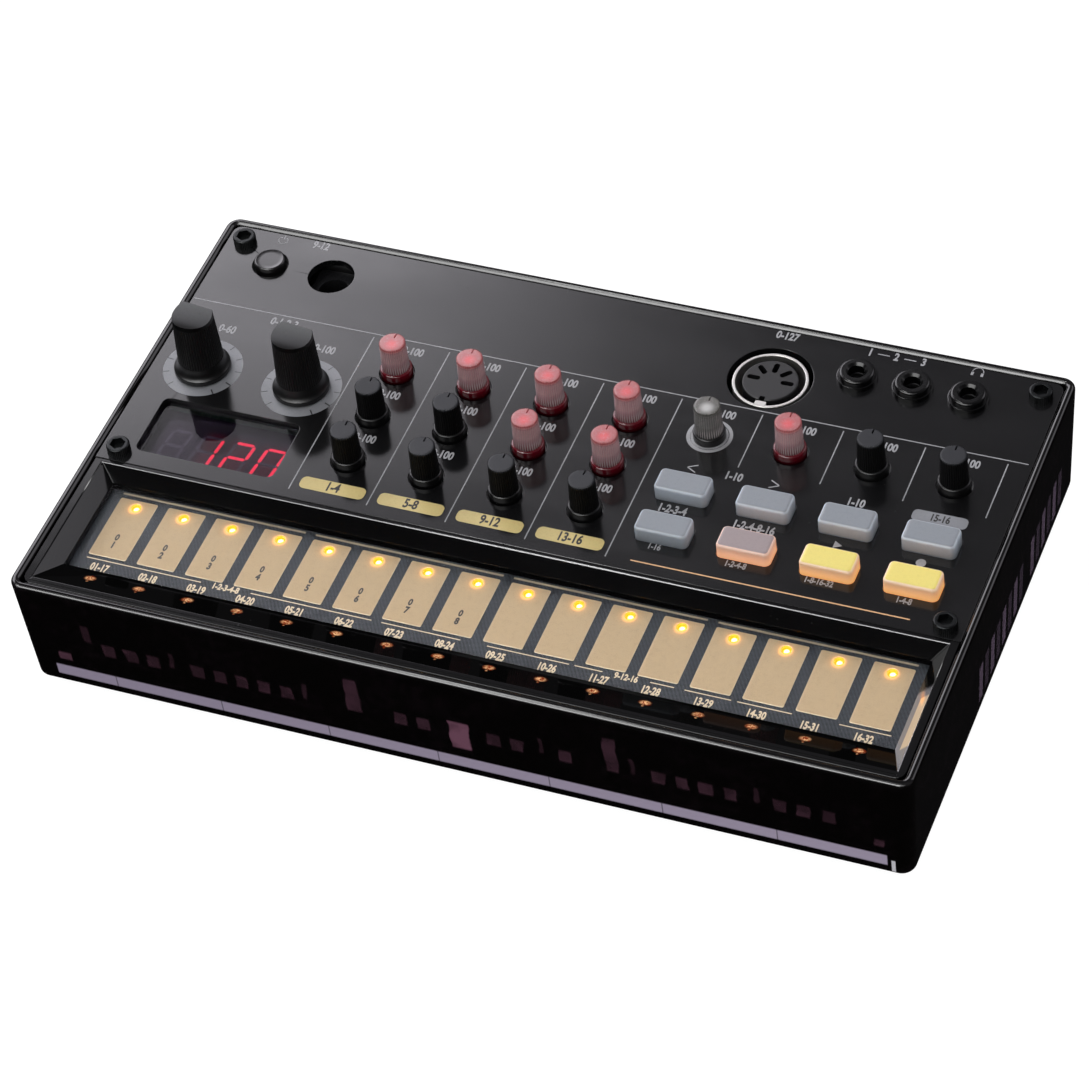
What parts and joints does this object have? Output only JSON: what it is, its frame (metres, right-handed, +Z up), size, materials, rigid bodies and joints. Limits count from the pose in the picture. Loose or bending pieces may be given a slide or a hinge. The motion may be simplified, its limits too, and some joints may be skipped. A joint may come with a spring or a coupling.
{
  "type": "drum machine",
  "caption": "Compact desktop drum machine with rotary controls, step pads, push buttons, display, sockets, speaker and battery bay.",
  "frame": {"origin": "on the surface it stands on, under the middle of the case", "axes": "+X along the long side to the right, +Y to the rear, +Z up"},
  "size_m": [0.193, 0.115, 0.046],
  "materials": {
    "smoked_case": "smoked, polished",
    "black_frame": "moulded",
    "panel_black": "fine satin",
    "gloss_black": "polished",
    "clear_plate": "polished",
    "slate_board": "printed",
    "pad_tan": "satin",
    "amber_light": "lit",
    "display_glass": "polished",
    "display_module": "potted",
    "pot_metal": "stamped",
    "black_plastic": "moulded",
    "circuit_board": "solder mask",
    "plated_contact": "plated",
    "jack_black": "polished",
    "screw_black": "black oxide",
    "foot_rubber": "matt",
    "speaker_metal": "satin",
    "speaker_paper": "pressed",
    "cell_wrap": "wrapped",
    "knob_black": "moulded",
    "knob_lit_red": "translucent, lit",
    "knob_clear": "translucent",
    "button_grey": "translucent silicone",
    "button_warm": "translucent silicone, lit faintly",
    "button_lit": "translucent silicone, lit"
  },
  "bodies": {
    "root": {"bottom_case": "smoked_case", "top_chassis": "black_frame", "front_panel": "panel_black", "keyboard_bezel": "gloss_black", "touch_plate": "clear_plate", "keyboard_board": "slate_board", "touch_pads": "pad_tan", "step_leds": "amber_light", "display_window": "display_glass", "display_module": "display_module", "pot_bodies": "pot_metal", "button_switches": "black_plastic", "power_switch": "black_plastic", "control_board": "circuit_board", "jack_board": "circuit_board", "dc_jack": "black_plastic", "dc_pin": "plated_contact", "din_shell": "plated_contact", "din_insert": "black_plastic", "audio_jacks": "jack_black", "panel_screws": "screw_black", "case_screws": "screw_black", "rubber_feet": "foot_rubber", "speaker_frame": "speaker_metal", "speaker_cone": "speaker_paper", "battery_tray": "black_plastic", "battery_cells": "cell_wrap", "battery_contacts": "plated_contact"},
    "kick_click_pot": {"kick_click_knob": "knob_lit_red"},
    "kick_pitch_pot": {"kick_pitch_knob": "knob_black"},
    "kick_decay_pot": {"kick_decay_knob": "knob_black"},
    "snare_snap_pot": {"snare_snap_knob": "knob_lit_red"},
    "snare_pitch_pot": {"snare_pitch_knob": "knob_black"},
    "snare_decay_pot": {"snare_decay_knob": "knob_black"},
    "tom_low_pitch_pot": {"tom_low_pitch_knob": "knob_lit_red"},
    "tom_high_pitch_pot": {"tom_high_pitch_knob": "knob_lit_red"},
    "tom_decay_pot": {"tom_decay_knob": "knob_black"},
    "hat_closed_decay_pot": {"hat_closed_decay_knob": "knob_lit_red"},
    "hat_open_decay_pot": {"hat_open_decay_knob": "knob_lit_red"},
    "hat_grain_pot": {"hat_grain_knob": "knob_black"},
    "sample_speed_pot": {"sample_speed_knob": "knob_clear"},
    "tempo_pot": {"tempo_knob": "knob_lit_red"},
    "part_level_pot": {"part_level_knob": "knob_black"},
    "volume_pot": {"volume_knob": "knob_black"},
    "large_left_pot": {"large_knob_left": "knob_black", "pot_shaft_left": "pot_metal"},
    "large_right_pot": {"large_knob_right": "knob_black", "pot_shaft_right": "pot_metal"},
    "part_back_button_body": {"part_back_button": "button_grey"},
    "part_next_button_body": {"part_next_button": "button_grey"},
    "mute_button_body": {"mute_button": "button_grey"},
    "function_button_body": {"function_button": "button_grey"},
    "memory_button_body": {"memory_button": "button_grey"},
    "step_mode_button_body": {"step_mode_button": "button_warm"},
    "play_button_body": {"play_button": "button_lit"},
    "record_button_body": {"record_button": "button_lit"},
    "power_button_body": {"power_button": "gloss_black"},
    "battery_door_body": {"battery_door": "smoked_case"}
  },
  "joints": [
    {"name": "kick_click_turn", "type": "hinge", "parent": "root", "child": "kick_click_pot", "pos_m": [-0.04211, 0.0217, 0.0284], "axis": [0, 0, 1], "range_deg": [-150, 150]},
    {"name": "kick_pitch_turn", "type": "hinge", "parent": "root", "child": "kick_pitch_pot", "pos_m": [-0.04211, 0.0083, 0.0284], "axis": [0, 0, 1], "range_deg": [-150, 150]},
    {"name": "kick_decay_turn", "type": "hinge", "parent": "root", "child": "kick_decay_pot", "pos_m": [-0.04211, -0.00509, 0.0284], "axis": [0, 0, 1], "range_deg": [-150, 150]},
    {"name": "snare_snap_turn", "type": "hinge", "parent": "root", "child": "snare_snap_pot", "pos_m": [-0.02456, 0.0217, 0.0284], "axis": [0, 0, 1], "range_deg": [-150, 150]},
    {"name": "snare_pitch_turn", "type": "hinge", "parent": "root", "child": "snare_pitch_pot", "pos_m": [-0.02456, 0.0083, 0.0284], "axis": [0, 0, 1], "range_deg": [-150, 150]},
    {"name": "snare_decay_turn", "type": "hinge", "parent": "root", "child": "snare_decay_pot", "pos_m": [-0.02456, -0.00509, 0.0284], "axis": [0, 0, 1], "range_deg": [-150, 150]},
    {"name": "tom_low_pitch_turn", "type": "hinge", "parent": "root", "child": "tom_low_pitch_pot", "pos_m": [-0.00702, 0.0217, 0.0284], "axis": [0, 0, 1], "range_deg": [-150, 150]},
    {"name": "tom_high_pitch_turn", "type": "hinge", "parent": "root", "child": "tom_high_pitch_pot", "pos_m": [-0.00702, 0.0083, 0.0284], "axis": [0, 0, 1], "range_deg": [-150, 150]},
    {"name": "tom_decay_turn", "type": "hinge", "parent": "root", "child": "tom_decay_pot", "pos_m": [-0.00702, -0.00509, 0.0284], "axis": [0, 0, 1], "range_deg": [-150, 150]},
    {"name": "hat_closed_decay_turn", "type": "hinge", "parent": "root", "child": "hat_closed_decay_pot", "pos_m": [0.01053, 0.0217, 0.0284], "axis": [0, 0, 1], "range_deg": [-150, 150]},
    {"name": "hat_open_decay_turn", "type": "hinge", "parent": "root", "child": "hat_open_decay_pot", "pos_m": [0.01053, 0.0083, 0.0284], "axis": [0, 0, 1], "range_deg": [-150, 150]},
    {"name": "hat_grain_turn", "type": "hinge", "parent": "root", "child": "hat_grain_pot", "pos_m": [0.01053, -0.00509, 0.0284], "axis": [0, 0, 1], "range_deg": [-150, 150]},
    {"name": "sample_speed_turn", "type": "hinge", "parent": "root", "child": "sample_speed_pot", "pos_m": [0.02807, 0.0217, 0.0284], "axis": [0, 0, 1], "range_deg": [-150, 150]},
    {"name": "tempo_turn", "type": "hinge", "parent": "root", "child": "tempo_pot", "pos_m": [0.04562, 0.0217, 0.0284], "axis": [0, 0, 1], "range_deg": [-150, 150]},
    {"name": "part_level_turn", "type": "hinge", "parent": "root", "child": "part_level_pot", "pos_m": [0.06316, 0.0217, 0.0284], "axis": [0, 0, 1], "range_deg": [-150, 150]},
    {"name": "volume_turn", "type": "hinge", "parent": "root", "child": "volume_pot", "pos_m": [0.08071, 0.0217, 0.0284], "axis": [0, 0, 1], "range_deg": [-150, 150]},
    {"name": "large_left_turn", "type": "hinge", "parent": "root", "child": "large_left_pot", "pos_m": [-0.0831, 0.012, 0.0284], "axis": [0, 0, 1], "range_deg": [-150, 150]},
    {"name": "large_right_turn", "type": "hinge", "parent": "root", "child": "large_right_pot", "pos_m": [-0.0601, 0.012, 0.0284], "axis": [0, 0, 1], "range_deg": [-150, 150]},
    {"name": "part_back_press", "type": "slide", "parent": "root", "child": "part_back_button_body", "axis": [0, 0, -1], "range_m": [0, 0.0008], "stiffness_N_per_m": 400, "springref_m": -0.0005},
    {"name": "part_next_press", "type": "slide", "parent": "root", "child": "part_next_button_body", "axis": [0, 0, -1], "range_m": [0, 0.0008], "stiffness_N_per_m": 400, "springref_m": -0.0005},
    {"name": "mute_press", "type": "slide", "parent": "root", "child": "mute_button_body", "axis": [0, 0, -1], "range_m": [0, 0.0008], "stiffness_N_per_m": 400, "springref_m": -0.0005},
    {"name": "function_press", "type": "slide", "parent": "root", "child": "function_button_body", "axis": [0, 0, -1], "range_m": [0, 0.0008], "stiffness_N_per_m": 400, "springref_m": -0.0005},
    {"name": "memory_press", "type": "slide", "parent": "root", "child": "memory_button_body", "axis": [0, 0, -1], "range_m": [0, 0.0008], "stiffness_N_per_m": 400, "springref_m": -0.0005},
    {"name": "step_mode_press", "type": "slide", "parent": "root", "child": "step_mode_button_body", "axis": [0, 0, -1], "range_m": [0, 0.0008], "stiffness_N_per_m": 400, "springref_m": -0.0005},
    {"name": "play_press", "type": "slide", "parent": "root", "child": "play_button_body", "axis": [0, 0, -1], "range_m": [0, 0.0008], "stiffness_N_per_m": 400, "springref_m": -0.0005},
    {"name": "record_press", "type": "slide", "parent": "root", "child": "record_button_body", "axis": [0, 0, -1], "range_m": [0, 0.0008], "stiffness_N_per_m": 400, "springref_m": -0.0005},
    {"name": "power_press", "type": "slide", "parent": "root", "child": "power_button_body", "axis": [0, 0, -1], "range_m": [0, 0.001], "stiffness_N_per_m": 500, "springref_m": -0.0005},
    {"name": "battery_door_swing", "type": "hinge", "parent": "root", "child": "battery_door_body", "pos_m": [0.036, 0.0264, 0.003], "axis": [1, 0, 0], "range_deg": [0, 95]}
  ]
}
